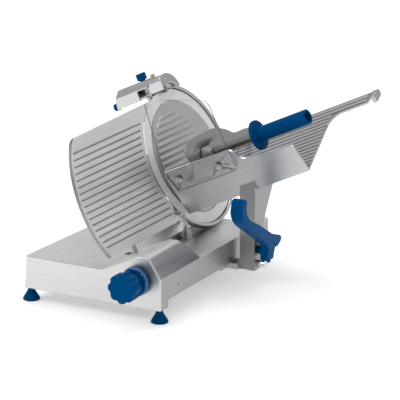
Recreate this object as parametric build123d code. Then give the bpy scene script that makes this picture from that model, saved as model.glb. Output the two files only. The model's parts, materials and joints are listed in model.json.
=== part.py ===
"""Gravity-feed deli meat slicer with a 300 mm blade.

Frame while modelling: X to the operator's right, Y away from the operator along the
carriage travel, Z up, counter at Z = 0.  The blade, gauge plate and sharpener are drawn
in the tilted HEAD frame and the food tray and pusher in the TRAY frame.  Every node is
shifted by ORIGIN_SHIFT on export, so that the origin is the bottom centre of the whole
machine's box.
"""
import os
from math import atan2, cos, degrees, radians, sin, sqrt

from build123d import *

# ---------------------------------------------------------------- driving dimensions (mm)
TILT = 25.5                # lean of the blade plane away from the vertical
ROLL = 27.0                # turn of the food tray about the blade's normal
BLADE_CENTRE = (152.0, 420.0, 226.0)
BLADE_R = 150.0
COVER_R = 122.0            # ribbed knife cover
RING_R = 158.0             # outside of the ring guard
RING_START = -137.0        # lower end of the ring guard, degrees from the rear
RING_END = 76.0            # upper end of the ring guard

BASE_W = 319.0
BASE_D = 490.0
BASE_TAPER = 22.0          # how far the left side comes in at the back
WALL = 5.0
FOOT_H = 28.0
STUD_TOP = 48.0            # top of the screw moulded into each foot
BOSS_TOP = 58.0
DECK_Z = 95.0
FLOOR_Z = 74.0             # sunken floor below the blade
STEP_X = 199.0             # edge between deck and sunken floor
RAMP_X = 183.0             # foot of the ramp
LEFT_LEAN = 6.0            # how far the left edge of the front panel leans in at its top
HUMP_TOP = 136.0
HUMP_BACK = 133.0          # where the hump starts to fall
HUMP_END = 184.0
SKIRT_Z = 44.0             # lower edge of the right side, above the carriage foot
RIM_X = 305.0
RIM_Z = 93.0

GAUGE_GROOVES = 16         # grooves in the face of the gauge plate
GAUGE_PITCH = 13.3
GAUGE_GROOVE = 3.4         # width of a groove
GAUGE_BORDER = 5.0         # plain border of the gauge plate
GAUGE_DEPTH = 9.0          # depth of its turned-back rim
COVER_RIBS = 13            # rounded ribs of the knife cover
COVER_RIB_TOP = 97.6
GAUGE_TOP = 103.0
GAUGE_RIB_R = 163.0        # the grooves end at this radius about the blade

PANEL_T = 6.0
INDEX_X = 269.0
INDEX_Z = 87.0
CAM_MIN = 9.0
CAM_SPOT = (45.76, -175.83)  # index shaft in the HEAD frame, away from blade and up
CAM_PIN_R = 2.0
CAM_GAP = 0.2
CAM_BACK = 92.0            # rear face of the scroll cam, along Y
GAUGE_TRAVEL = 15.0
INDEX_TURN = 300.0

ROD_X = 285.0
ROD_Z = 48.0
ROD_R = 9.0
FIT = 0.05                 # radial running clearance

POST_X = 332.0
POST_W = 35.0
POST_Y = 316.0
POST_FOOT = 30.0           # height of the post's lower end
TRAY_T = 4.0
TRAY_LEFT = 6.0            # gap between cutting plane and tray
TRAY_RIGHT = 318.0
STRIP_RIGHT = 432.0
BED_DEPTH = 199.0
STRIP_DEPTH = 166.0
WALL_LOW = 66.0
WALL_HIGH = 110.0

RAIL = (208.0, -13.0)      # pusher rail in the TRAY frame
RAIL_R = 6.0
PUSHER_AXIS = (64.5, 77.0) # handle axis in the TRAY frame
PUSHER_A = 80.0            # blade side of the pusher plate

SHARP_Y = 12.0             # sharpener post, along the carriage, in the HEAD frame
STONE_Y = -1.0             # line of the two grinding shafts
STONE_T = 152.0
STONE_R = 8.5
SHARP_POST_A = -42.0
SHAFT_R = 3.5              # the two grinding shafts

MOTOR = (85.0, -20.0)      # motor axis in the HEAD frame
MOTOR_R = 47.0
PULLEY_BIG = 42.0
PULLEY_SMALL = 16.0
BELT_T = 3.0

FOOT_SPOTS = ((7.0, 15.0), (309.0, 16.0), (38.0, 466.0), (309.0, 466.0))
HANDLE_AXIS = (335.0, 72.0)
RELEASE_AXIS = (332.0, 43.0)
GUARD_SCREWS = ((47.0, 87.0), (147.0, 85.0))

_n = (cos(radians(TILT)), 0.0, sin(radians(TILT)))
HEAD = Plane(origin=BLADE_CENTRE, x_dir=(0, 1, 0), z_dir=_n).location
TRAY = HEAD * Location((-92.0, -106.0, 0.0), (0, 0, ROLL))
GUARD = TRAY * Location((-10.0, 112.0, 0.0), (0, 0, -ROLL))

NODES = {}
BASE_SCREWS = []


# ---------------------------------------------------------------- helpers
def block(x0, x1, y0, y1, z0, z1):
    """Box between two corners."""
    size = (x1 - x0, y1 - y0, z1 - z0)
    return Pos((x0 + x1) / 2, (y0 + y1) / 2, (z0 + z1) / 2) * Box(*size)


def disc(radius, z0, z1, x=0.0, y=0.0):
    """Cylinder along local Z."""
    return Pos(x, y, (z0 + z1) / 2) * Cylinder(radius, z1 - z0)


def tube(outer, inner, z0, z1, x=0.0, y=0.0):
    """Hollow cylinder along local Z."""
    return disc(outer, z0, z1, x, y) - disc(inner, z0 - 1, z1 + 1, x, y)


def along_y(shape):
    """Turn a shape drawn along Z so that it runs along +Y."""
    return Rot(-90, 0, 0) * shape


def along_x(shape):
    """Turn a shape drawn along Z so that it runs along +X."""
    return Rot(0, 90, 0) * shape


def prism(points, z0, z1):
    """Polygon in local XY, extruded along local Z."""
    face = make_face(Polyline(*points, close=True))
    return extrude(Pos(0, 0, z0) * face, amount=z1 - z0, dir=(0, 0, 1))


def prism_y(points, y0, y1):
    """Polygon of (X, Z) points, extruded along +Y."""
    face = Plane.XZ * make_face(Polyline(*points, close=True))
    return extrude(Pos(0, y0, 0) * face, amount=y1 - y0, dir=(0, 1, 0))


def prism_x(points, x0, x1):
    """Polygon of (Y, Z) points, extruded along +X."""
    face = Plane.YZ * make_face(Polyline(*points, close=True))
    return extrude(Pos(x0, 0, 0) * face, amount=x1 - x0, dir=(1, 0, 0))


def face_prism(edges, z0, z1):
    """Closed chain of edges in local XY, extruded along local Z."""
    return extrude(Pos(0, 0, z0) * make_face(edges), amount=z1 - z0, dir=(0, 0, 1))


def polar(radius, angle):
    """Point at an angle in degrees."""
    return (radius * cos(radians(angle)), radius * sin(radians(angle)))


def sector(outer, inner, start, end, z0, z1):
    """Part of a ring between two angles."""
    mid = (start + end) / 2
    edges = [
        ThreePointArc(polar(outer, start), polar(outer, mid), polar(outer, end)),
        Line(polar(outer, end), polar(inner, end)),
        ThreePointArc(polar(inner, end), polar(inner, mid), polar(inner, start)),
        Line(polar(inner, start), polar(outer, start)),
    ]
    return face_prism(edges, z0, z1)


def turned(points):
    """Solid of revolution about local Z from (radius, z) points."""
    face = Plane.XZ * make_face(Polyline(*points, close=True))
    return revolve(face, Axis.Z, 360)


def add(name, *shapes):
    """Store one node, made of one or more separate solids."""
    solids = []
    for shape in shapes:
        solids.extend(shape.solids())
    NODES[name] = solids[0] if len(solids) == 1 else Compound(children=solids)


# ---------------------------------------------------------------- base
def front_profile(inset=0.0, bottom=FOOT_H):
    """Outline of the front panel as (X, Z) points."""
    top = DECK_Z - inset
    return [
        (inset, bottom),
        (inset + LEFT_LEAN, top),
        (RAMP_X + inset * 0.2, top),
        (260, 95 + (260 - RAMP_X) * sin(radians(TILT)) / cos(radians(TILT)) - inset * 1.1),
        (268, HUMP_TOP - inset),
        (287, HUMP_TOP - inset),
        (295 - inset * 0.6, 131.5 - inset),
        (BASE_W - inset, 94 - inset * 0.4),
        (BASE_W - inset, bottom),
    ]


def plan_outline(inset=0.0):
    """Outline of the base in plan."""
    points = [
        (inset, PANEL_T + inset),
        (BASE_W - inset, PANEL_T + inset),
        (BASE_W - inset, BASE_D - inset),
        (BASE_TAPER + inset, BASE_D - inset),
    ]
    face = make_face(Polyline(*points, close=True))
    rear = face.vertices().sort_by(Axis.Y)[-2:]
    return fillet(rear, 24 - inset)


def base_outer(inset=0.0):
    """Outer or inner skin of the base as a closed solid."""
    low = FOOT_H if inset == 0 else FOOT_H - 1
    plan = plan_outline(inset)
    column = extrude(Pos(0, 0, low) * plan, amount=200, dir=(0, 0, 1))
    front = prism_y(front_profile(inset, low), PANEL_T, HUMP_END + 20)
    fall = [
        (0, low),
        (0, HUMP_TOP + 5 - inset),
        (HUMP_BACK - inset, HUMP_TOP + 5 - inset),
        (HUMP_BACK - inset, HUMP_TOP - inset),
        (HUMP_END - inset, FLOOR_Z - inset),
        (HUMP_END - inset, low),
    ]
    front = front & prism_x(fall, RAMP_X, BASE_W)
    deck = block(0, STEP_X - inset, 0, BASE_D, low, DECK_Z - inset)
    floor = block(STEP_X - inset - 1, BASE_W, HUMP_BACK - 20, BASE_D, low, FLOOR_Z - inset)
    skin = front + deck + floor
    if inset == 0:
        skin += block(RIM_X, BASE_W, HUMP_BACK - 20, BASE_D, FLOOR_Z - 1, RIM_Z)
    return skin & column


def make_base():
    body = base_outer() - base_outer(WALL)
    # the right side stops above the carriage foot, behind the front corner
    body -= block(RIM_X - 20, BASE_W + 5, 34, BASE_D - 40, 20, SKIRT_Z)
    # bosses for the feet
    for x, y in FOOT_SPOTS:
        wall_x = BASE_W if x > BASE_W / 2 else BASE_TAPER * y / BASE_D
        web = block(min(x, wall_x), max(x, wall_x), y - 6, y + 6, FOOT_H, BOSS_TOP)
        body += (disc(9.5, FOOT_H, BOSS_TOP, x, y) + web) & base_outer()
    for x, y in FOOT_SPOTS:
        body -= disc(4.0, FOOT_H - 1, STUD_TOP + 2, x, y)
    # slot for the gauge arm, along the ramp
    slot = HEAD * block(-309, -291, -165, -120, -38, -12)
    body -= slot
    # lugs that hold the gauge rod under the ramp
    for a0, a1, top in ((-56, -44, -124), (50, 62, -130)):
        lug = HEAD * block(-312, -288, -162, top, a0, a1)
        body += lug & base_outer()
    body -= HEAD * disc(8.0, -50, 62, -300, -150)
    # hole for the index shaft in the front wall
    body -= Pos(INDEX_X, 0, INDEX_Z) * along_y(disc(9.0, 0, PANEL_T + WALL + 1))
    # side slot over the rod's set screw
    body -= Pos(BASE_W - 8, 76, 64) * along_x(disc(2.6, 0, 12))
    # switch recess in the left side
    body -= block(-1, 12, 78, 152, 46, 80)
    # cable inlet at the back
    body -= Pos(110, BASE_D - 10, 62) * along_y(disc(8.0, 0, 14))
    return body


def make_front_panel():
    panel = prism_y(front_profile(), 0, PANEL_T)
    outer_edges = panel.edges().filter_by(Axis.Y, reverse=True)
    front_edges = [e for e in outer_edges if abs(e.center().Y) < 0.01]
    panel = fillet(front_edges, 1.6)
    return panel - Pos(INDEX_X, 0, INDEX_Z) * along_y(disc(8.2, -1, PANEL_T + 1))


def make_foot(x, y):
    cone = turned([(0, 0), (17.5, 0), (18.2, 2.0), (17.0, 5.0), (8.5, 19.0), (7.0, 23.0),
                   (7.0, FOOT_H), (3.9, FOOT_H), (3.9, STUD_TOP), (0, STUD_TOP)])
    return Pos(x, y, 0) * cone


def build_base():
    add("base_housing", make_base())
    add("front_panel", make_front_panel())
    add("feet", *[make_foot(x, y) for x, y in FOOT_SPOTS])
    cover = prism([(12, 34), (228, 34), (228, 452), (30, 452)], 30, 32)
    spots = ((30, 60), (210, 60), (60, 440), (210, 440))
    for x, y in spots:
        cover -= disc(2.2, 29, 33, x, y)
    add("bottom_cover", cover)
    screws = [disc(2.1, 30, 40, x, y) + disc(4.5, 27.5, 30, x, y) for x, y in spots]
    BASE_SCREWS.extend(screws)
    plate = block(6.4, 11.9, 80, 150, 48, 78)
    for y in (98, 132):
        plate -= Pos(6, y, 63) * along_x(disc(9.05, -1, 8))
    add("switch_plate", plate)
    for name, y in (("start_button", 98), ("stop_button", 132)):
        cap = Pos(0, y, 63) * along_x(disc(9.0, 2.0, 11.0) + disc(4.0, 11.0, 13.8))
        add(name, cap)
    gland = disc(7.9, BASE_D - 6, BASE_D) + disc(12, BASE_D, BASE_D + 6)
    gland += disc(8.5, BASE_D + 6, BASE_D + 16)
    gland -= disc(4.0, BASE_D - 8, BASE_D + 18)
    add("cable_gland", Pos(110, 0, 62) * along_y(gland))


# ---------------------------------------------------------------- head, blade and drive
def head_outline():
    """Side outline of the head casting, (HEAD x, HEAD y)."""
    return [(-30, -52), (-30, -160), (70, -160), (92, -135), (128, -92), (150, -40), (152, 20),
            (136, 70), (96, 112), (40, 134), (-22, 134), (-30, 120), (-30, 52)]


def build_head():
    body = prism(head_outline(), -50, -12.2) + disc(60, -50, -12.2)
    inner = [(-22, -44), (-22, -90), (100, -90), (136, -38), (138, 16), (122, 62), (84, 98),
             (-22, 98), (-22, 44)]
    body -= prism(inner, -51, -18) + disc(52, -51, -18)
    body += disc(27, -31, -17)
    body -= disc(19.0, -32, -14)
    body -= disc(13, -15, -11)
    # seat for the sharpener's post
    body -= sharp_rod(6.5, 108, 140)
    body = HEAD * body - block(-200, 600, 300, 700, -100, DECK_Z)
    add("head_casting", body)

    cover_outline = [(-29, -50), (-29, -118), (68, -118), (90, -118), (126, -90), (148, -39),
                     (150, 19), (134, 69), (94, 110), (-28, 110), (-29, 50)]
    cover = prism(cover_outline, -53, -50) + disc(59, -53, -50)
    cover -= disc(4.5, -54, -49)
    cover -= disc(12.0, -54, -49, *MOTOR)
    cover_spots = ((-20, -60), (120, -70), (140, 0), (90, 100), (-20, 104))
    for x, y in cover_spots:
        cover -= disc(2.6, -54, -49, x, y)
    add("belt_cover", HEAD * cover - block(-200, 600, 300, 700, -100, DECK_Z + 0.5))
    heads = [HEAD * (disc(2.5, -53, -50.1, x, y) + disc(4.5, -56, -53, x, y)) for x, y in cover_spots]
    add("cover_screws", *BASE_SCREWS, *heads)

    blade = turned([(10.0 + FIT, -8), (10.0 + FIT, -4), (124, -4), (126, 0), (149.6, 0),
                    (BLADE_R, -0.4), (140, -5.5), (132, -8)])
    for k in range(3):
        x, y = polar(20, 90 + 120 * k)
        blade -= disc(2.6, -9, -3, x, y)
    add("blade", HEAD * blade)
    pins = []
    for k in range(3):
        x, y = polar(20, 90 + 120 * k)
        pins.append(disc(2.5, -12, -4, x, y) + disc(4.2, -4, -2.2, x, y))
    add("blade_screws", HEAD * Compound(children=pins))
    spindle = tube(10.0, 5.0, -45, -4.2) + tube(30, 9.0, -12, -8)
    for k in range(3):
        x, y = polar(20, 90 + 120 * k)
        spindle -= disc(2.5, -13, -7, x, y)
    add("spindle", HEAD * spindle)
    rings = [tube(19.0, 10.0 + FIT, -22, -14.5), tube(19.0, 10.0 + FIT, -30.5, -23)]
    add("spindle_bearings", HEAD * Compound(children=rings))
    add("blade_pulley", HEAD * (tube(PULLEY_BIG, 10.0, -45, -33) + tube(PULLEY_BIG + 4, 10.0, -33, -32)))
    rotor = [HEAD * tube(PULLEY_SMALL, 5.0, -45, -33, *MOTOR), HEAD * disc(5.0, -66, -32, *MOTOR)]
    add("motor_rotor", *rotor)
    angle = degrees(atan2(MOTOR[1], MOTOR[0]))
    add("drive_belt", HEAD * (Rot(0, 0, angle) * belt_loop(sqrt(MOTOR[0] ** 2 + MOTOR[1] ** 2))))
    body = tube(MOTOR_R, 5.0 + FIT, -132, -57, *MOTOR) + tube(30, 5.0 + FIT, -57, -53, *MOTOR)
    body += disc(20, -136, -120, *MOTOR)
    body -= disc(5.0 + FIT, -67, -50, *MOTOR)
    add("motor", HEAD * body)
    shell = disc(MOTOR_R + 6, -141, -53, *MOTOR) - disc(MOTOR_R + 3, -138, -52, *MOTOR)
    add("motor_cover", HEAD * shell - block(-200, 600, 300, 700, -100, DECK_Z + 0.5))

    ring = sector(RING_R, 151.5, RING_START, RING_END, -12, 4)
    ring += sector(RING_R, 139, RING_START, RING_END, -12.2, -9.6)
    add("ring_guard", HEAD * ring)
    stand = block(206, 210, 298, 314, FLOOR_Z, 128) + block(215, 219, 298, 314, FLOOR_Z, 122)
    stand += block(206, 219, 303, 309, FLOOR_Z, 124) + block(203, 222, 295, 317, FLOOR_Z, 80)
    stand += block(178, 210, 300, 312, 118, 130)
    stand += HEAD * disc(7.0, -24, -12.3, -113, -98)
    stand -= HEAD * disc(RING_R, -12.25, 60)
    stand -= HEAD * block(-500, 200, -100, 200, -12.3, 60)
    stand -= HEAD * block(-500, 200, -300, 200, 3, 60)
    add("ring_bracket", stand)

    cover = disc(COVER_R, -1.5, 0.5) + tube(COVER_R, COVER_R - 4, -3.6, 0.5)
    cover += disc(9, -3.6, 0)
    waves = None
    for k in range(COVER_RIBS):
        wave = Pos(-130, COVER_RIB_TOP - GAUGE_PITCH * k, -3.4) * along_x(disc(6.4, 0, 230))
        waves = wave if waves is None else waves + wave
    waves = waves & disc(108, 0.2, 4) & disc(88, 0.2, 4, -24, 15)
    cover += waves
    cover -= disc(4.0, -5, -0.5)
    add("knife_cover", HEAD * cover)
    knob = disc(16, -78, -62)
    for k in range(6):
        x, y = polar(19, 60 * k)
        knob -= disc(6, -79, -61, x, y)
    knob += disc(9, -62, -53.5)
    knob -= disc(3.95, -63, -53)
    knob -= disc(3.95, -66, -61)
    add("cover_lock_knob", HEAD * (knob + disc(5, -78, -63)), HEAD * disc(3.95, -62, -0.55))

    shield = sector(63.0, 61.0, 125, 235, -48, -14)
    shield += prism([polar(61.0, 235), polar(63.0, 235), (-39, -118), (-37, -118)], -48, -14)
    add("slice_deflector", HEAD * shield - block(-200, 600, 300, 700, -100, DECK_Z + 2))


def belt_loop(distance):
    """Flat belt round two pulleys a distance apart on local X."""
    big = PULLEY_BIG + FIT
    small = PULLEY_SMALL + FIT
    lean = degrees(atan2(sqrt(distance ** 2 - (big - small) ** 2), big - small))

    def loop(extra):
        r1 = big + extra
        r2 = small + extra
        p1 = polar(r1, lean)
        p2 = polar(r2, lean)
        edges = [
            ThreePointArc(p1, (-r1, 0), (p1[0], -p1[1])),
            Line((p1[0], -p1[1]), (distance + p2[0], -p2[1])),
            ThreePointArc((distance + p2[0], -p2[1]), (distance + r2, 0), (distance + p2[0], p2[1])),
            Line((distance + p2[0], p2[1]), p1),
        ]
        return face_prism(edges, -44.5, -33.5)

    return loop(BELT_T) - loop(0)


# ---------------------------------------------------------------- gauge and index
def gauge_outline(inset=0.0):
    """Closed outline of the gauge plate in the HEAD frame."""
    i = inset
    top = (-62 - i, 139 - i)
    low = (-130 - i, -79)
    radius = 152.0 + i
    mid = polar(radius, 180 - 5)
    top = (-sqrt(radius ** 2 - top[1] ** 2), top[1])
    low = (-sqrt(radius ** 2 - low[1] ** 2), low[1])
    return [
        Line((-137 - i, -116 + i), low),
        ThreePointArc(low, mid, top),
        Line(top, (-358, 134 - i)),
        ThreePointArc((-358, 134 - i), (-378 + i * 0.6, 130 - i), (-391 + i, 118)),
        ThreePointArc((-391 + i, 118), (-436 + i, 11), (-409 + i, -116 + i)),
        Line((-409 + i, -116 + i), (-137 - i, -116 + i)),
    ]


def build_gauge():
    plate = face_prism(gauge_outline(), -5, 0)
    grooves = None
    for k in range(GAUGE_GROOVES):
        low = GAUGE_TOP - GAUGE_PITCH * k
        groove = block(-440, -60, low, low + GAUGE_GROOVE, -2.5, 1)
        grooves = groove if grooves is None else grooves + groove
    plate -= (grooves & face_prism(gauge_outline(GAUGE_BORDER), -3, 2)) - disc(GAUGE_RIB_R, -4, 3)
    # shallow recess above the grooves, beside the blade
    plate -= prism([(-126, 146), (-96, 146), (-119, 108), (-150, 108)], -1.2, 1)
    skirt = face_prism(gauge_outline(), -GAUGE_DEPTH, -4) - face_prism(gauge_outline(5), -15, -4)
    add("gauge_plate", HEAD * (plate + skirt))
    slide = block(-307, -293, -145, -84, -21, -14.2) + block(-330, -270, -108, -84, -14.2, -5)
    slide += block(-314, -286, -162, -141, -26, 4) + block(-326, -313, -172, -145, -24, 4)
    pin_a = CAM_SPOT[0] - CAM_MIN - CAM_PIN_R - CAM_GAP
    slide += block(-326, -314, -172, -160, -4, 22) + block(-326, -314, -181, -160, 19, pin_a + 4)
    slide += Pos(-338, CAM_SPOT[1], pin_a) * along_x(disc(CAM_PIN_R, 0, 14))
    slide -= disc(8.0 + FIT, -30, 30, -300, -150)
    add("gauge_slide", HEAD * slide)
    add("gauge_rod", HEAD * disc(8.0, -50, 62, -300, -150))


def spiral_cam(z0, z1):
    """Scroll cam: its radius grows evenly over INDEX_TURN degrees."""
    points = []
    steps = 30
    for k in range(steps + 1):
        turn = INDEX_TURN * k / steps
        points.append(polar(CAM_MIN + GAUGE_TRAVEL * k / steps, turn))
    cam = prism(points + [(0, 0)], z0, z1)
    return cam + disc(8.6, z0, z1)


def build_index():
    lobes = 8
    knob = disc(31, 0, 30)
    for k in range(lobes):
        x, y = polar(36.5, 360 / lobes * (k + 0.5))
        knob -= disc(9.0, -1, 31, x, y)
    knob -= disc(6.0, 2, 31)
    neck = tube(20, 6.0, 30, 46)
    knob = knob + neck
    add("index_knob", Pos(INDEX_X, -68, INDEX_Z) * along_y(knob))
    dial = turned([(6.0, 0), (27.5, 0), (31.0, 10), (31.0, 13), (6.0, 13)])
    add("index_dial", Pos(INDEX_X, -22, INDEX_Z) * along_y(dial))
    shaft = Pos(INDEX_X, 0, INDEX_Z) * along_y(disc(6.0, -66, CAM_BACK))
    cam = Pos(INDEX_X, CAM_BACK, INDEX_Z) * along_y(Rot(0, 0, 180 - TILT) * spiral_cam(-10, 0))
    add("index_shaft", shaft + cam)
    bush = tube(8.2, 6.0 + FIT, 0, 24) + tube(14, 6.0 + FIT, 11.5, 24)
    bush -= tube(40, 8.2, -1, 11.5)
    add("index_bush", Pos(INDEX_X, 0, INDEX_Z) * along_y(bush))


# ---------------------------------------------------------------- carriage
STAND_UP = Location(Plane(origin=(0, 0, 0), x_dir=(0, 0, 1), z_dir=(-1, 0, 0)))


def wall_prism(edges, q0, q1):
    """Outline of (away from blade, up the wall), thick from q0 to q1 across the tray."""
    face = make_face(edges)
    flat = extrude(face, amount=q1 - q0, dir=(0, 0, 1))
    return Pos(q1, 0, 0) * (STAND_UP * flat)


def bed_prism(edges, s0, s1):
    """Outline of (across the bed, away from blade), thick from s0 to s1 up the wall."""
    plane = Plane(origin=(0, 0, 0), x_dir=(1, 0, 0), z_dir=(0, -1, 0))
    flat = extrude(make_face(edges), amount=s1 - s0, dir=(0, 0, 1))
    return Pos(0, s1, 0) * (Location(plane) * flat)


def pad_edges(points):
    return [Line(points[k], points[(k + 1) % len(points)]) for k in range(len(points))]


def build_tray():
    wall_edges = [
        Line((TRAY_LEFT, -TRAY_T), (TRAY_RIGHT, -TRAY_T)),
        Line((TRAY_RIGHT, -TRAY_T), (TRAY_RIGHT + 3.6, WALL_LOW - 5)),
        ThreePointArc((TRAY_RIGHT + 3.6, WALL_LOW - 5), (TRAY_RIGHT + 2.3, WALL_LOW - 1.3),
                      (TRAY_RIGHT - 1.5, WALL_LOW)),
        Line((TRAY_RIGHT - 1.5, WALL_LOW), (216, 74)),
        ThreePointArc((216, 74), (203, 78), (196, 89)),
        ThreePointArc((196, 89), (193, 102), (182, WALL_HIGH - 2)),
        Line((182, WALL_HIGH - 2), (20, WALL_HIGH + 1)),
        Line((20, WALL_HIGH + 1), (TRAY_LEFT, -TRAY_T)),
    ]
    tray = wall_prism(wall_edges, -TRAY_T, 0)
    bed_edges = [
        Line((-TRAY_T, TRAY_LEFT), (BED_DEPTH, TRAY_LEFT)),
        Line((BED_DEPTH, TRAY_LEFT), (BED_DEPTH, STRIP_RIGHT)),
        Line((BED_DEPTH, STRIP_RIGHT), (STRIP_DEPTH, STRIP_RIGHT - 12)),
        Line((STRIP_DEPTH, STRIP_RIGHT - 12), (STRIP_DEPTH, 360)),
        ThreePointArc((STRIP_DEPTH, 360), (STRIP_DEPTH - 7, 342), (140, 328)),
        Line((140, 328), (0, TRAY_RIGHT)),
        Line((0, TRAY_RIGHT), (-TRAY_T, TRAY_RIGHT)),
        Line((-TRAY_T, TRAY_RIGHT), (-TRAY_T, TRAY_LEFT)),
    ]
    tray += bed_prism(bed_edges, -TRAY_T, 0)
    ribs = None
    for k in range(15):
        q = 11 + 12.4 * k
        right = 324 if q < 135 else (330 if q < STRIP_DEPTH else STRIP_RIGHT - 16)
        rib = block(q, q + 8.6, -0.5, 1.3, TRAY_LEFT + 4, right - (0 if q > 20 else 4))
        ribs = rib if ribs is None else ribs + rib
    tray += ribs & (bed_prism(bed_edges, -1, 3))
    left_pad = [(15, 62), (66, 62), (98, 108), (27, 108)]
    right_pad = [(118, 62), (178, 62), (186, 106), (146, 108)]
    for pad in (left_pad, right_pad):
        tray += wall_prism(pad_edges(pad), -7, -TRAY_T)
    for a, s in GUARD_SCREWS:
        tray -= wall_hole(a, s, 3.05, -8, 1)
    add("tray", TRAY * tray)


def wall_hole(a, s, radius, q0, q1):
    """Cylinder through the front wall, across the tray."""
    return Pos(q0, s, a) * along_x(disc(radius, 0, q1 - q0))


def build_guard():
    flap_edges = [
        Line((24, 113), (26, 64)),
        ThreePointArc((26, 64), (27.5, 61), (31, 60)),
        Line((31, 60), (168, 60)),
        ThreePointArc((168, 60), (183, 66), (189, 81)),
        Line((189, 81), (190, 113)),
        Line((190, 113), (24, 113)),
    ]
    guard = wall_prism(flap_edges, -10, -7)
    upper_edges = [
        Line((24, -1), (43, 147)),
        ThreePointArc((43, 147), (46, 151), (51, 152)),
        Line((51, 152), (84, 148)),
        Line((84, 148), (172, 116)),
        ThreePointArc((172, 116), (184, 108), (189, 96)),
        Line((189, 96), (190, -1)),
        Line((190, -1), (24, -1)),
    ]
    upper = wall_prism(upper_edges, 0, 3)
    bend = Pos(0, -0.2, 0) * disc(0.6, 26, 189)
    guard = TRAY * guard + GUARD * (upper + bend)
    for a, s in GUARD_SCREWS:
        guard -= TRAY * wall_hole(a, s, 3.05, -12, -6)
    add("hand_guard", guard)
    screws = []
    for a, s in GUARD_SCREWS:
        screw = wall_hole(a, s, 6.5, -13.5, -10) + wall_hole(a, s, 3.0, -10, -0.5)
        screw -= wall_hole(a, s, 2.2, -14, -12)
        screws.append(TRAY * screw)
    bolt = Pos(0, *HANDLE_AXIS) * along_x(disc(4.95, POST_X + 12, POST_X + POST_W + 24))
    add("carriage_screws", bolt, *screws)


def build_carriage():
    outline = [(POST_Y, POST_FOOT), (POST_Y, 240), (POST_Y + 92, 240), (POST_Y + 86, 205),
               (POST_Y + 50, 145), (POST_Y + 32, 100), (POST_Y + 28, POST_FOOT)]
    post = prism_x(outline, POST_X, POST_X + POST_W)
    envelope = TRAY * block(-TRAY_T, 400, -TRAY_T, 400, -100, 700)
    post -= envelope
    post -= TRAY * block(-300, -TRAY_T, 26, 400, -100, 700)
    post -= Pos(0, *HANDLE_AXIS) * along_x(disc(5.0, POST_X + 12, POST_X + POST_W + 1))
    add("carriage_post", post)
    foot = block(ROD_X - 13, ROD_X + 13, 300, 372, 24, 60)
    foot += block(ROD_X - 13, POST_X, 308, 344, 30, 42)
    foot += block(ROD_X - 42, ROD_X - 13, 318, 354, 36, 52)
    foot -= Pos(ROD_X, 299, ROD_Z) * along_y(disc(11.0, 0, 74))
    foot += Pos(0, 336, 44) * along_x(disc(4.0, ROD_X - 54, ROD_X - 42))
    add("carriage_foot", foot)
    bushes = []
    for y in (300, 352):
        bushes.append(Pos(ROD_X, y, ROD_Z) * along_y(tube(11.0, ROD_R + FIT, 0, 20)))
    add("carriage_bushes", *bushes)
    roller = tube(8.0, 4.0 + FIT, ROD_X - 53.5, ROD_X - 42.5)
    add("carriage_roller", Pos(0, 336, 44) * along_x(roller))
    add("slide_rod", Pos(ROD_X, 0, ROD_Z) * along_y(disc(ROD_R, 13, 480)))
    ends = []
    for y0, y1 in ((11, 29), (BASE_D - 23, BASE_D - 5)):
        end = block(ROD_X - 13, ROD_X + 9.5, y0, y1, 36, 60)
        ends.append(end - Pos(ROD_X, 0, ROD_Z) * along_y(disc(ROD_R, 13, 480)))
    add("rod_end_blocks", *ends)
    rail = block(ROD_X - 56, ROD_X - 41, PANEL_T + WALL, BASE_D - WALL, 52.05, 58)
    add("anti_tip_rail", rail)
    knob = disc(7, 0, 6) + disc(4.5, 6, 9) + disc(8, 9, 17)
    place = Pos(POST_X + POST_W + 0.2, *RELEASE_AXIS)
    add("release_knob", place * along_x(knob))


def build_handle():
    """Curved lever in front of and beside the post, wide at the grip, narrow at the hub."""
    x0 = POST_X + POST_W + 11
    edges = [
        Spline((211, 213), (208, 194), (221, 175), (250, 158), (291, 136), (330, 114), (356, 101)),
        Spline((356, 101), (370, 99), (379, 90), (372, 80), (354, 78)),
        Line((354, 78), (348, 54)),
        Line((348, 54), (319, 54)),
        Line((319, 54), (320, 84)),
        Spline((320, 84), (300, 101), (262, 126), (224, 150), (199, 168), (186, 188), (188, 208)),
        ThreePointArc((188, 208), (200, 221), (211, 213)),
    ]
    lever = extrude(Pos(x0, 0, 0) * (Plane.YZ * make_face(edges)), amount=28, dir=(1, 0, 0))
    lever &= prism_y([(x0, 30), (x0 + 18, 30), (x0 + 18, 66), (x0 + 28, 150), (x0 + 28, 240), (x0, 240)],
                     150, 400)
    lever += Pos(0, *HANDLE_AXIS) * along_x(disc(9.0, POST_X + POST_W, x0))
    lever -= Pos(0, *HANDLE_AXIS) * along_x(disc(5.0, POST_X + POST_W - 1, x0 + 14.0))
    add("carriage_handle", lever)


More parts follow.
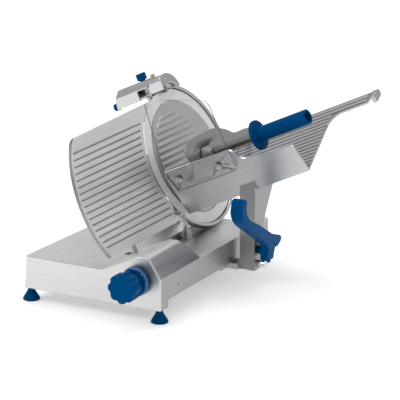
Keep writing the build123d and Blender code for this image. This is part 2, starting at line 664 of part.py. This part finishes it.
# ---------------------------------------------------------------- pusher
def build_pusher():
    add("pusher_rail", TRAY * disc(RAIL_R, 16, STRIP_RIGHT - 2, *RAIL))
    brackets = []
    for a0, a1 in ((14, 24), (STRIP_RIGHT - 11, STRIP_RIGHT - 1)):
        piece = block(186, 208, -19, -TRAY_T, a0, a1) + disc(8.5, a0, a1, *RAIL)
        piece -= disc(RAIL_R, 16, STRIP_RIGHT - 2, *RAIL)
        brackets.append(TRAY * (piece - block(170, 240, -TRAY_T, 20, a0 - 1, a1 + 1)))
    add("rail_brackets", *brackets)
    q, s = RAIL
    bush = turned([(RAIL_R + FIT, 96), (10.5, 96), (10.5, 101.9), (8.0, 101.9), (8.0, 142.1),
                   (10.5, 142.1), (10.5, 147), (RAIL_R + FIT, 147)])
    add("pusher_bush", TRAY * (Pos(q, s, 0) * bush))
    arm = disc(11.0, 102, 142, q, s)
    outer = [(219, -14), (223, 3), (219, 13), (200, 26), (166, 44), (150, 57), (132, 73), (108, 87),
             (80, 93), (58, 90), (50, 76), (58, 63), (96, 54), (150, 30), (190, 8), (199, 4),
             (202.5, -5), (206, -13)]
    arm += prism(outer, 102, 112)
    arm += disc(17, PUSHER_A + 6, 112, *PUSHER_AXIS)
    arm -= disc(8.0 + FIT, 90, 160, q, s)
    arm -= disc(7.0, 70, 130, *PUSHER_AXIS)
    add("pusher_arm", TRAY * arm)
    edges = [
        Line((12, 6), (192, 6)),
        Line((192, 6), (196, 28)),
        ThreePointArc((196, 28), (170, 64), (106, 104)),
        ThreePointArc((106, 104), (60, 126), (28, 132)),
        ThreePointArc((28, 132), (16, 128), (12, 116)),
        Line((12, 116), (12, 6)),
    ]
    plate = face_prism(edges, PUSHER_A, PUSHER_A + 4)
    spots = ((45, 106), (92, 62))
    for x, y in spots:
        plate -= disc(2.5, PUSHER_A - 1, PUSHER_A + 5, x, y)
    plate -= disc(7.0, PUSHER_A - 1, PUSHER_A + 5, *PUSHER_AXIS)
    plate += flat_studs(spots)
    add("pusher_plate", TRAY * plate)
    stem = disc(7.0, PUSHER_A, 335, *PUSHER_AXIS) + disc(9.5, 112, 220, *PUSHER_AXIS)
    stem += disc(11, PUSHER_A + 4, PUSHER_A + 6, *PUSHER_AXIS)
    add("pusher_stem", TRAY * stem)
    grip = tube(16, 12, 230, 349, *PUSHER_AXIS) + tube(32, 7.0, 220, 226, *PUSHER_AXIS)
    grip += tube(16, 7.0, 226, 234, *PUSHER_AXIS) + tube(13, 7.0, 315, 335, *PUSHER_AXIS)
    add("pusher_grip", TRAY * grip)


def flat_studs(free_spots):
    """Square gripping studs on the blade side of the pusher plate."""
    studs = None
    for i in range(7):
        for j in range(4):
            x = 26 + 24 * i
            y = 20 + 22 * j
            near = any(abs(x - a) < 9 and abs(y - b) < 9 for a, b in free_spots)
            hub = (x - PUSHER_AXIS[0]) ** 2 + (y - PUSHER_AXIS[1]) ** 2 < 15 ** 2
            if near or hub or x + 1.7 * y > 215:
                continue
            stud = Pos(x, y, PUSHER_A - 2) * Box(5, 5, 4.4)
            studs = stud if studs is None else studs + stud
    return studs


# ---------------------------------------------------------------- sharpener
def sharp_rod(radius, t0, t1):
    """Upright cylinder on the sharpener's post axis."""
    return Pos(SHARP_Y, 0, SHARP_POST_A) * Rot(-90, 0, 0) * disc(radius, t0, t1)


def build_sharpener():
    post = sharp_rod(6.5, 108, 140) + sharp_rod(7.0, 140, 180) - sharp_rod(4.0, 150, 181)
    add("sharpener_post", HEAD * post)
    outline = [(-19, 146), (-19, 170), (-3, 184), (25, 184), (25, 146)]
    inner = [(-15, 145), (-15, 168), (-1.5, 180), (21, 180), (21, 145)]
    body = prism(outline, -112, -19) - prism(inner, -98, -23)
    # slanted left end
    body &= wall_prism(pad_edges([(-112, 140), (-101, 188), (0, 188), (0, 140)]), -30, 30)
    body += sharp_rod(9.0, 150, 181)
    body -= sharp_rod(7.0 + FIT, 140, 180)
    body -= sharp_rod(4.0 + FIT, 176, 190)
    # window in front of the stone
    body -= block(-30, -14, 140, 167, -47, -10)
    body -= disc(SHAFT_R + FIT, -115, -90, STONE_Y, STONE_T)
    body -= disc(STONE_R + 1.5, -30, -10, STONE_Y, STONE_T)
    add("sharpener_housing", HEAD * body)
    nose_edges = [
        Line((-14, 150), (-14, 170)),
        ThreePointArc((-14, 170), (-10, 179), (0, 182)),
        Line((0, 182), (12, 182)),
        ThreePointArc((12, 182), (39, 172), (53, 150)),
        Line((53, 150), (51, 144)),
        ThreePointArc((51, 144), (34, 155), (12, 160)),
        Line((12, 160), (-14, 150)),
    ]
    nose = face_prism(nose_edges, -19, 16)
    nose -= block(-11, 20, 130, 176, -20, 13)
    nose -= prism([(22, 140), (22, 168), (38, 162), (44, 150), (44, 140)], -14, 12)
    # room for the upper end of the ring guard
    nose -= disc(RING_R + 1, -13.2, 5) & block(34, 80, 100, 200, -20, 20)
    nose -= disc(SHAFT_R + FIT, 10, 22, STONE_Y, STONE_T)
    nose -= Pos(4, 0, -10) * Rot(-90, 0, 0) * disc(3.0, 170, 190)
    add("sharpener_nose", HEAD * nose)
    screw = Pos(4, 0, -10) * Rot(-90, 0, 0) * (disc(2.95, 177, 182.4) + disc(5.5, 182.4, 190))
    add("nose_screw", HEAD * screw)
    shaft = disc(SHAFT_R, -121, -14, STONE_Y, STONE_T) + disc(6.5, -24, -21.5, STONE_Y, STONE_T)
    add("grinding_shaft", HEAD * (shaft + disc(8, -125, -114.2, STONE_Y, STONE_T)))
    add("grinding_stone", HEAD * tube(STONE_R, SHAFT_R + FIT, -20.5, -12, STONE_Y, STONE_T))
    push = disc(SHAFT_R, 5, 24, STONE_Y, STONE_T) + disc(6.5, 12.5, 12.9, STONE_Y, STONE_T)
    add("deburring_button", HEAD * (push + disc(6, 20, 26, STONE_Y, STONE_T)))
    add("deburring_stone", HEAD * tube(STONE_R, SHAFT_R + FIT, 4.5, 12, STONE_Y, STONE_T))
    knob = disc(3.95, 158, 188) + disc(6, 184.2, 188) + disc(11, 186, 201)
    add("sharpener_knob", HEAD * (Pos(SHARP_Y, 0, SHARP_POST_A) * Rot(-90, 0, 0) * knob))


# ---------------------------------------------------------------- build and export
def export_all():
    box = Compound(children=[NODES[name].moved(Location()) for name in NODES]).bounding_box()
    shift = (-(box.min.X + box.max.X) / 2, -(box.min.Y + box.max.Y) / 2, -box.min.Z)
    os.makedirs("parts", exist_ok=True)
    for name, shape in NODES.items():
        export_step(shape.moved(Location(shift)), f"parts/{name}.step")
    return shift


build_base()
build_head()
build_gauge()
build_index()
build_tray()
build_guard()
build_carriage()
build_handle()
build_pusher()
build_sharpener()
ORIGIN_SHIFT = export_all()
print("origin shift", ORIGIN_SHIFT, "nodes", len(NODES))
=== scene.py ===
"""Looks of the deli meat slicer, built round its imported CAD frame.  Metres, Z up."""
import json
import math

import bmesh
import bpy
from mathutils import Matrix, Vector


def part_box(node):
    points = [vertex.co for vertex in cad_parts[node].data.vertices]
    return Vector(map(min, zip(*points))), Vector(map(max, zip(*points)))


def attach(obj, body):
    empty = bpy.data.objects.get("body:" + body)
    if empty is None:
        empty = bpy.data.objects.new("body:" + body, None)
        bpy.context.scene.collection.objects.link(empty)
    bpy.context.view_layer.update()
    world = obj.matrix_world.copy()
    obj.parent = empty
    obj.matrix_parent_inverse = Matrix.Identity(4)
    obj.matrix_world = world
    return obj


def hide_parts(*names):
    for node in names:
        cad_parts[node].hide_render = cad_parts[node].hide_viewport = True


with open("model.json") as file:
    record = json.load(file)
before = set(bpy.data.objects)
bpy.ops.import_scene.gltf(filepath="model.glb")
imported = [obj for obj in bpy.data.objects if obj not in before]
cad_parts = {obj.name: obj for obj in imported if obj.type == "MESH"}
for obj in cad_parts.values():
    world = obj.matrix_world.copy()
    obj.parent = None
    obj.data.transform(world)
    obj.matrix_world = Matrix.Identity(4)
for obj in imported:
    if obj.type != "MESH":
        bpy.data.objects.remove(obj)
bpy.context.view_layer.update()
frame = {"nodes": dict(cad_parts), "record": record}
nodes = frame["nodes"]

# ---------------------------------------------------------------- machine directions
TILT = math.radians(25.5)
ROLL = math.radians(27.0)
OUT = Vector((math.cos(TILT), 0.0, math.sin(TILT)))      # blade axis, towards the meat
UP = Vector((-math.sin(TILT), 0.0, math.cos(TILT)))      # up in the blade's plane
TRAVEL = Vector((0.0, 1.0, 0.0))                         # carriage travel
BLADE_CENTRE = Vector((-0.1119, 0.165, 0.226))           # middle of the blade's cutting plane
BED_UP = UP * math.cos(ROLL) - TRAVEL * math.sin(ROLL)   # square to the tray's bed
WALL_OUT = TRAVEL * math.cos(ROLL) + UP * math.sin(ROLL)  # square to the tray's wall
BED_CORNER = BLADE_CENTRE - TRAVEL * 0.092 - UP * 0.106  # where bed and wall meet
X_AXIS = Vector((1.0, 0.0, 0.0))
Z_AXIS = Vector((0.0, 0.0, 1.0))
GAUGE_FACE = OUT.dot(BLADE_CENTRE)                       # ribbed face, along OUT
GROOVE_TOP = GAUGE_FACE - 0.0018                         # heights of the groove floors
GROOVE_LOW = GAUGE_FACE - 0.0035
BED_FACE = BED_UP.dot(BED_CORNER)                        # bed between its ribs, along BED_UP
BED_LOW = BED_FACE - 0.0004
BED_TOP = BED_FACE + 0.0006
BUTTON_END = GAUGE_FACE - 0.1135                         # where the low button's shaft starts

# ---------------------------------------------------------------- camera, light and floor
CAMERA_PLACE = (2.4548, -4.4896, 1.7213)
CAMERA_ROUND = 28.6                                      # degrees
CAMERA_ABOVE = 16.7
CAMERA_LENS = 232.2
WORLD_STRENGTH = 0.80
WORLD_GREYS = ((0.50, 0.62), (0.57, 0.80), (0.64, 1.0), (0.72, 0.66), (0.85, 0.80))
COOLNESS = 1.01                                          # blue share of the greys
LAMPS = (                                                # name, place, aim, size, watts
    ("key", (-2.0, -2.2, 2.6), (0, 0, 0.15), (1.8, 1.4), 34),
    ("fill", (2.4, 0.8, 1.7), (0, 0, 0.2), (0.9, 1.6), 8),
    ("top", (-0.3, 0.9, 2.6), (0, 0, 0.2), (1.4, 1.0), 16),
)
FLOOR_REACH = 9
FLOOR_GREY = 0.90
FLOOR_GLOW = 0.34


def make_camera():
    data = bpy.data.cameras.new("camera")
    data.lens = CAMERA_LENS
    data.sensor_width = 36.0
    data.clip_end = 30.0
    cam = bpy.data.objects.new("camera", data)
    bpy.context.scene.collection.objects.link(cam)
    cam.location = CAMERA_PLACE
    cam.rotation_euler = (math.radians(90 - CAMERA_ABOVE), 0.0, math.radians(CAMERA_ROUND))
    bpy.context.scene.camera = cam


def area_light(name, place, target, size, power):
    data = bpy.data.lights.new(name, "AREA")
    data.shape = "RECTANGLE"
    data.size, data.size_y = size
    data.energy = power
    lamp = bpy.data.objects.new(name, data)
    bpy.context.scene.collection.objects.link(lamp)
    lamp.location = place
    aim = Vector(target) - Vector(place)
    lamp.rotation_euler = aim.to_track_quat("-Z", "Y").to_euler()


def make_stage():
    world = bpy.data.worlds.new("studio")
    bpy.context.scene.world = world
    world.use_nodes = True
    tree = world.node_tree
    tree.nodes.clear()
    out = tree.nodes.new("ShaderNodeOutputWorld")
    back = tree.nodes.new("ShaderNodeBackground")
    coord = tree.nodes.new("ShaderNodeTexCoord")
    split = tree.nodes.new("ShaderNodeSeparateXYZ")
    ramp = tree.nodes.new("ShaderNodeValToRGB")
    tree.links.new(coord.outputs["Generated"], split.inputs[0])
    tree.links.new(split.outputs["Z"], ramp.inputs[0])
    tree.links.new(ramp.outputs[0], back.inputs["Color"])
    tree.links.new(back.outputs[0], out.inputs[0])
    stops = ramp.color_ramp.elements
    stops[0].position, stops[0].color = 0.0, (0.70, 0.70, 0.70, 1)
    stops[1].position, stops[1].color = 1.0, (0.95, 0.95, 0.95, 1)
    for place, grey in WORLD_GREYS:
        stop = stops.new(place)
        stop.color = (grey, grey, grey * COOLNESS, 1)
    back.inputs["Strength"].default_value = WORLD_STRENGTH
    for lamp in LAMPS:
        area_light(*lamp)

    far = FLOOR_REACH
    mesh = bpy.data.meshes.new("floor")
    corners = [(-far, -far, 0), (far, -far, 0), (far, far, 0), (-far, far, 0)]
    mesh.from_pydata(corners, [], [(0, 1, 2, 3)])
    floor = bpy.data.objects.new("floor", mesh)
    bpy.context.scene.collection.objects.link(floor)
    mat = bpy.data.materials.new("floor")
    mat.use_nodes = True
    floor_bsdf = mat.node_tree.nodes["Principled BSDF"]
    floor_bsdf.inputs["Base Color"].default_value = (FLOOR_GREY,) * 3 + (1,)
    floor_bsdf.inputs["Roughness"].default_value = 0.85
    floor_bsdf.inputs["Emission Color"].default_value = (1, 1, 1, 1)
    floor_bsdf.inputs["Emission Strength"].default_value = FLOOR_GLOW
    mesh.materials.append(mat)
    bpy.context.scene.view_settings.view_transform = "Standard"


# ---------------------------------------------------------------- materials
SOFT_IOR = 1.1                                           # keeps the blue free of white sheen
BLUE = (0.0, 0.062, 0.195)
BLUE_DARK = (0.0, 0.050, 0.145)
BLUE_GLOSS = (0.10, 0.60, 1.0)
SHEET_TINT = (0.994, 0.996, 0.998, 1)
SHEET_EDGE = (0.10, 0.11, 0.12, 1)
EDGE_FILM = 0.98                                         # opacity of the clear guard's edges
FACE_FILM = 0.006
HAZE_FILM = 0.012
GRAIN_START = 0.3                                        # part of a noise that carries the grain
GRAIN_END = 0.7
SQUARE = 0.9                                             # how square a face is to count as a floor
BRUSH_DEPTH = 0.00004
MOULD_DEPTH = 0.00003
UNDERSIDE_SHADE_TONE = 0.48


class Paint:
    """A material being wired up, with the row frame's own coordinates as its space."""

    def __init__(self, name):
        self.mat = bpy.data.materials.new(name)
        self.mat.use_nodes = True
        self.tree = self.mat.node_tree
        self.bsdf = self.tree.nodes["Principled BSDF"]
        coordinates = self.node("ShaderNodeTexCoord")
        self.space = coordinates.outputs["Object"]
        self.normal = coordinates.outputs["Normal"]

    def node(self, kind, **values):
        made = self.tree.nodes.new(kind)
        for key, value in values.items():
            setattr(made, key, value)
        return made

    def link(self, source, target):
        self.tree.links.new(source, target)

    def along(self, axis, fine, coarse):
        """Coordinates stretched along one direction: coarse there, fine across it."""
        side = axis.orthogonal().normalized()
        join = self.node("ShaderNodeCombineXYZ")
        for k, (way, scale) in enumerate(((axis, coarse), (side, fine), (axis.cross(side), fine))):
            self.link(self.dot(self.space, way * scale), join.inputs[k])
        return join.outputs[0]

    def noise(self, scale, detail=3.0, rough=0.55, vector=None):
        made = self.node("ShaderNodeTexNoise")
        made.inputs["Scale"].default_value = scale
        made.inputs["Detail"].default_value = detail
        made.inputs["Roughness"].default_value = rough
        self.link(vector or self.space, made.inputs["Vector"])
        return made.outputs["Fac"]

    def span(self, source, low, high, start=GRAIN_START, end=GRAIN_END):
        made = self.node("ShaderNodeMapRange")
        self.link(source, made.inputs["Value"])
        for key, value in (("From Min", start), ("From Max", end), ("To Min", low), ("To Max", high)):
            made.inputs[key].default_value = value
        return made.outputs["Result"]

    def tint(self, source, dark, light):
        made = self.node("ShaderNodeValToRGB")
        self.link(source, made.inputs[0])
        stops = made.color_ramp.elements
        stops[0].position, stops[0].color = GRAIN_START, (*dark, 1)
        stops[1].position, stops[1].color = GRAIN_END, (*light, 1)
        return made.outputs[0]

    def dot(self, source, way):
        made = self.node("ShaderNodeVectorMath", operation="DOT_PRODUCT")
        self.link(source, made.inputs[0])
        made.inputs[1].default_value = way
        return made.outputs["Value"]

    def math(self, operation, first, second):
        made = self.node("ShaderNodeMath", operation=operation)
        for source, target in zip((first, second), made.inputs):
            if isinstance(source, (int, float)):
                target.default_value = source
            else:
                self.link(source, target)
        return made.outputs[0]

    def facing(self, way):
        """1 on faces square to a direction, whichever side they face, and 0 along it."""
        return self.math("ABSOLUTE", self.dot(self.normal, way), 0)

    def floors(self, way, low, high):
        """1 on the faces square to a direction whose height along it is between low and high."""
        height = self.dot(self.space, way)
        above = self.math("GREATER_THAN", height, low)
        below = self.math("LESS_THAN", height, high)
        square = self.math("GREATER_THAN", self.dot(self.normal, way), SQUARE)
        return self.math("MULTIPLY", self.math("MULTIPLY", above, below), square)

    def darkened(self, colour, mask, tone):
        """The colour, multiplied by tone where the mask is 1."""
        made = self.node("ShaderNodeMix", data_type="RGBA", blend_type="MULTIPLY")
        self.link(mask, made.inputs["Factor"])
        self.link(colour, made.inputs["A"])
        made.inputs["B"].default_value = (tone, tone, tone, 1)
        return made.outputs["Result"]

    def mix(self, first, second, share):
        made = self.node("ShaderNodeMix", data_type="FLOAT")
        made.inputs["Factor"].default_value = share
        self.link(first, made.inputs["A"])
        self.link(second, made.inputs["B"])
        return made.outputs["Result"]

    def bump(self, source, depth, strength):
        made = self.node("ShaderNodeBump")
        made.inputs["Strength"].default_value = strength
        made.inputs["Distance"].default_value = depth
        self.link(source, made.inputs["Height"])
        self.link(made.outputs[0], self.bsdf.inputs["Normal"])

    def set(self, **values):
        for key, value in values.items():
            self.bsdf.inputs[key.replace("_", " ")].default_value = value


def shade(colour, factor):
    return tuple(min(1.0, c * factor) for c in colour)


def brushed(name, colour, axis, rough=(0.26, 0.40), lines=700.0, side_shade_tone=None, groove_shade=None,
            rim_shade_tone=None, rib_underside_shade=False):
    paint = Paint(name)
    fine = paint.noise(1.0, 2.0, vector=paint.along(axis, lines, 9.0))
    broad = paint.noise(1.0, 4.0, vector=paint.along(axis, 55.0, 4.0))
    cloud = paint.noise(7.0, 3.0)
    grain = paint.mix(fine, paint.mix(broad, cloud, 0.5), 0.45)
    tone = paint.tint(grain, shade(colour, 0.86), shade(colour, 1.08))
    if side_shade_tone:
        # painted shade: faces turned to the right (+X) are darkened, so the right side reads darker
        # than the deck
        side = paint.span(paint.dot(paint.normal, X_AXIS), 0.0, 1.0, 0.25, 0.90)
        tone = paint.darkened(tone, side, side_shade_tone)
    if groove_shade:
        # painted shade: the recessed floors between the ribs are darkened, as if shaded
        way, low, high, groove_shade_tone = groove_shade
        tone = paint.darkened(tone, paint.floors(way, low, high), groove_shade_tone)
    if rim_shade_tone:
        # painted shade: faces of the turned-back rim that are not square to the blade axis are
        # darkened
        tone = paint.darkened(tone, paint.span(paint.facing(OUT), 1.0, 0.0), rim_shade_tone)
    if rib_underside_shade:
        # painted shade on the downward-facing undersides of the rounded ribs
        underside_shade = paint.span(paint.dot(paint.normal, UP), 1.0, 0.0, -0.35, 0.02)
        tone = paint.darkened(tone, underside_shade, UNDERSIDE_SHADE_TONE)
    paint.link(tone, paint.bsdf.inputs["Base Color"])
    paint.link(paint.span(grain, *rough), paint.bsdf.inputs["Roughness"])
    paint.bump(fine, BRUSH_DEPTH, 0.5)
    paint.set(Metallic=1.0)
    return paint.mat


def cast(name, colour, rough=(0.34, 0.48), grain=900.0, depth=0.00006, metal=1.0):
    paint = Paint(name)
    fine = paint.noise(grain, 4.0, 0.6)
    cloud = paint.noise(18.0, 4.0)
    both = paint.mix(fine, cloud, 0.55)
    tone = paint.tint(both, shade(colour, 0.88), shade(colour, 1.07))
    paint.link(tone, paint.bsdf.inputs["Base Color"])
    paint.link(paint.span(both, *rough), paint.bsdf.inputs["Roughness"])
    paint.bump(fine, depth, 0.5)
    paint.set(Metallic=metal)
    return paint.mat


def plastic(name, colour, rough=(0.16, 0.28), grain=1600.0, gloss=None):
    paint = Paint(name)
    fine = paint.noise(grain, 2.0)
    cloud = paint.noise(24.0, 4.0)
    tone = paint.tint(paint.mix(fine, cloud, 0.7), shade(colour, 0.85), shade(colour, 1.12))
    paint.link(tone, paint.bsdf.inputs["Base Color"])
    paint.link(paint.span(cloud, *rough), paint.bsdf.inputs["Roughness"])
    paint.bump(fine, MOULD_DEPTH, 0.4)
    if gloss:
        paint.set(IOR=SOFT_IOR, Specular_Tint=(*gloss, 1))
    return paint.mat


def clear_sheet(name):
    """Clear plastic: the faces almost vanish, the cut edges and the bend show grey."""
    paint = Paint(name)
    clear = paint.node("ShaderNodeBsdfTransparent")
    clear.inputs["Color"].default_value = SHEET_TINT
    faces = paint.math("MAXIMUM", paint.facing(WALL_OUT), paint.facing(TRAVEL))
    haze = paint.noise(260.0, 5.0, vector=paint.along(OUT, 1.0, 0.25))
    face = paint.span(faces, EDGE_FILM, FACE_FILM, 0.80, 0.88)
    film = paint.math("ADD", face, paint.span(haze, 0.0, HAZE_FILM))
    both = paint.node("ShaderNodeMixShader")
    paint.link(film, both.inputs[0])
    paint.link(clear.outputs[0], both.inputs[1])
    paint.link(paint.bsdf.outputs[0], both.inputs[2])
    paint.set(Base_Color=SHEET_EDGE, Specular_IOR_Level=0.2)
    paint.link(paint.span(haze, 0.05, 0.14), paint.bsdf.inputs["Roughness"])
    out = next(n for n in paint.tree.nodes if n.type == "OUTPUT_MATERIAL")
    paint.link(both.outputs[0], out.inputs["Surface"])
    return paint.mat


def button_shaft(name, colour, level):
    """Moulded button on a steel shaft, split where the shaft leaves the button."""
    paint = Paint(name)
    fine = paint.noise(900.0, 2.0)
    steel = paint.tint(fine, (0.44, 0.44, 0.44), (0.58, 0.58, 0.58))
    blue = paint.tint(fine, shade(colour, 0.85), shade(colour, 1.12))
    metal = paint.math("GREATER_THAN", paint.dot(paint.space, OUT), level)
    both = paint.node("ShaderNodeMix", data_type="RGBA")
    for source, socket in ((metal, "Factor"), (blue, "A"), (steel, "B")):
        paint.link(source, both.inputs[socket])
    paint.link(both.outputs["Result"], paint.bsdf.inputs["Base Color"])
    paint.link(metal, paint.bsdf.inputs["Metallic"])
    paint.link(paint.span(fine, 0.28, 0.40), paint.bsdf.inputs["Roughness"])
    paint.set(IOR=SOFT_IOR, Specular_Tint=(*BLUE_GLOSS, 1))
    return paint.mat


looks = {
    "base": brushed("base", (0.88, 0.88, 0.885), TRAVEL, (0.30, 0.42), side_shade_tone=0.43),
    "panel": brushed("panel", (0.68, 0.68, 0.675), X_AXIS, (0.34, 0.46)),
    "gauge": brushed("gauge", (0.88, 0.885, 0.89), TRAVEL, (0.34, 0.46), rim_shade_tone=0.35,
                     groove_shade=(OUT, GROOVE_LOW, GROOVE_TOP, 0.42)),
    "post": brushed("post", (0.31, 0.308, 0.305), Z_AXIS, (0.30, 0.42)),
    "tray": brushed("tray", (0.60, 0.605, 0.61), OUT, (0.30, 0.42),
                    groove_shade=(BED_UP, BED_LOW, BED_TOP, 0.62)),
    "disc": brushed("disc", (0.64, 0.645, 0.65), TRAVEL, (0.30, 0.42), rib_underside_shade=True),
    "stem": brushed("stem", (0.30, 0.285, 0.27), OUT, (0.14, 0.24), lines=420.0),
    "plate": brushed("plate", (0.42, 0.43, 0.435), TRAVEL, (0.28, 0.40)),
    "cast": cast("cast", (0.50, 0.505, 0.515)),
    "cast_bright": cast("cast_bright", (0.66, 0.665, 0.67), (0.14, 0.26)),
    "sharpener": cast("sharpener", (0.60, 0.595, 0.605), (0.16, 0.28), 500.0, 0.00003),
    "blade": cast("blade", (0.97, 0.975, 0.98), (0.16, 0.24), 400.0, 0.00001, 0.4),
    "chrome": cast("chrome", (0.72, 0.725, 0.73), (0.05, 0.12), 400.0, 0.00001),
    "steel": brushed("steel", (0.56, 0.56, 0.56), TRAVEL, (0.22, 0.34)),
    "blue": plastic("blue", BLUE, (0.20, 0.32), gloss=BLUE_GLOSS),
    "blue_rubber": plastic("blue_rubber", BLUE_DARK, (0.30, 0.42), gloss=BLUE_GLOSS),
    "black": plastic("black", (0.018, 0.018, 0.020), (0.35, 0.5)),
    "white": plastic("white", (0.80, 0.80, 0.78), (0.3, 0.45)),
    "belt": plastic("belt", (0.02, 0.02, 0.02), (0.55, 0.7), 500.0),
    "bronze": cast("bronze", (0.55, 0.36, 0.17), (0.3, 0.45)),
    "screw": cast("screw", (0.50, 0.44, 0.38), (0.12, 0.25), 500.0, 0.00002),
    "iron": cast("iron", (0.10, 0.105, 0.11), (0.4, 0.6), metal=0.3),
    "stone": cast("stone", (0.20, 0.165, 0.13), (0.8, 0.95), 2200.0, 0.0002, 0.0),
    "green": plastic("green", (0.01, 0.20, 0.05)),
    "red": plastic("red", (0.38, 0.01, 0.01)),
    "button": button_shaft("button", BLUE, BUTTON_END),
    "clear": clear_sheet("clear"),
}
SLOT_LOOK = {
    "anodised": "base", "cast_aluminium": "cast", "stainless": "steel", "blade_steel": "blade",
    "chromed": "chrome", "blue_plastic": "blue", "blue_rubber": "blue_rubber", "clear_guard": "clear",
    "black_plastic": "black", "white_acetal": "white", "drive_rubber": "belt", "bronze": "bronze",
    "iron": "iron", "abrasive": "stone", "green_button": "green", "red_button": "red",
}
NODE_LOOK = {
    "front_panel": "panel", "gauge_plate": "gauge", "carriage_post": "post", "tray": "tray",
    "knife_cover": "disc", "ring_guard": "cast_bright", "sharpener_nose": "sharpener",
    "sharpener_housing": "sharpener", "pusher_stem": "stem", "pusher_plate": "plate",
    "pusher_arm": "plate", "nose_screw": "screw", "carriage_screws": "chrome",
    "grinding_shaft": "button",
}
slots = {part["node"]: part["material_slot"] for part in frame["record"]["subparts"]}
bodies = frame["record"]["behaviour"]["bodies"]
owner = {name: body for body, names in bodies.items() for name in names}


def look_of(name):
    return looks[NODE_LOOK.get(name, SLOT_LOOK[slots[name]])]


def paint_nodes():
    for name in slots:
        node = nodes[name]
        node.data.materials.clear()
        node.data.materials.append(look_of(name))


# ---------------------------------------------------------------- shapes
EDGE_WIDTH = 0.0006
EDGE_ANGLE = math.radians(32)
WELD_GAP = 0.000005
EDGED = ("base_housing", "front_panel", "gauge_plate", "tray", "carriage_post", "ring_guard",
         "blade", "head_casting", "motor_cover", "belt_cover", "pusher_plate", "pusher_arm",
         "slice_deflector", "pusher_stem", "knife_cover", "carriage_screws", "cover_screws",
         "release_knob", "rail_brackets", "ring_bracket", "switch_plate", "nose_screw")
MOULDED = (                                              # node, voxel size, smoothing rounds
    ("carriage_handle", 0.0012, 14), ("index_knob", 0.0009, 10), ("feet", 0.0008, 6),
    ("pusher_grip", 0.0008, 6), ("sharpener_knob", 0.0006, 8), ("cover_lock_knob", 0.0008, 8),
    ("index_dial", 0.0006, 4), ("sharpener_nose", 0.0008, 8), ("sharpener_housing", 0.0007, 5),
    ("grinding_shaft", 0.0005, 3),
)
TICKS = 40
TICK_STEP = 5                                            # every fifth tick is a long one
TICK_LONG = 0.0280                                       # inner radii of the ticks
TICK_SHORT = 0.0289
TICK_OUTER = 0.0306
TICK_HALF = 0.00028
TICK_RAISE = 0.00012
TICK_SINK = 0.0001
TICK_THICK = 0.00025
DIAL_FRONT_R = 0.0275
DIAL_SLOPE = 0.010 / 0.0035


def edge_break(name):
    """Small radius on a CAD node's sharp edges, as modifiers only."""
    node = nodes[name]
    weld = node.modifiers.new("weld", "WELD")
    weld.merge_threshold = WELD_GAP
    bevel = node.modifiers.new("edge_break", "BEVEL")
    bevel.width = EDGE_WIDTH
    bevel.segments = 2
    bevel.limit_method = "ANGLE"
    bevel.angle_limit = EDGE_ANGLE
    bevel.harden_normals = False
    even = node.modifiers.new("even", "WEIGHTED_NORMAL")
    even.keep_sharp = False


def moulded(name, voxel, rounds):
    """Stand-in for a moulded CAD node: the same shape with soft, rounded edges."""
    mesh = nodes[name].data.copy()
    piece = bpy.data.objects.new(name + "_moulded", mesh)
    bpy.context.scene.collection.objects.link(piece)
    remesh = piece.modifiers.new("remesh", "REMESH")
    remesh.mode = "VOXEL"
    remesh.voxel_size = voxel
    smooth = piece.modifiers.new("smooth", "SMOOTH")
    smooth.factor = 0.5
    smooth.iterations = rounds
    graph = bpy.context.evaluated_depsgraph_get()
    solid = bpy.data.meshes.new_from_object(piece.evaluated_get(graph))
    piece.modifiers.clear()
    piece.data = solid
    for face in solid.polygons:
        face.use_smooth = True
    solid.materials.clear()
    solid.materials.append(look_of(name))
    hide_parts(name)
    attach(piece, owner[name])


def dial_ticks():
    """White marks on the dial's sloping rim."""
    low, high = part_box("index_dial")
    centre = Vector(((low[0] + high[0]) / 2, low[1], (low[2] + high[2]) / 2))
    order = ((0, 1, 3, 2), (0, 2, 6, 4), (1, 5, 7, 3), (2, 3, 7, 6), (0, 4, 5, 1), (4, 6, 7, 5))
    made = bmesh.new()
    for k in range(TICKS):
        turn = 2 * math.pi * k / TICKS
        out = Vector((math.cos(turn), 0, math.sin(turn)))
        side = Vector((-math.sin(turn), 0, math.cos(turn)))
        corners = []
        for radius in (TICK_SHORT if k % TICK_STEP else TICK_LONG, TICK_OUTER):
            depth = (radius - DIAL_FRONT_R) * DIAL_SLOPE
            for sign in (-1, 1):
                point = centre + out * (radius + TICK_RAISE) + side * TICK_HALF * sign
                corners.append(made.verts.new(point + Vector((0, depth - TICK_SINK, 0))))
        lift = out * TICK_THICK - TRAVEL * TICK_SINK
        verts = corners + [made.verts.new(v.co + lift) for v in corners]
        for face in order:
            made.faces.new([verts[i] for i in face])
    bmesh.ops.recalc_face_normals(made, faces=made.faces)
    mesh = bpy.data.meshes.new("dial_ticks")
    made.to_mesh(mesh)
    made.free()
    piece = bpy.data.objects.new("dial_ticks", mesh)
    bpy.context.scene.collection.objects.link(piece)
    mesh.materials.append(looks["white"])
    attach(piece, "index")


make_camera()
make_stage()
paint_nodes()
for name in EDGED:
    edge_break(name)
for name, voxel, rounds in MOULDED:
    moulded(name, voxel, rounds)
dial_ticks()
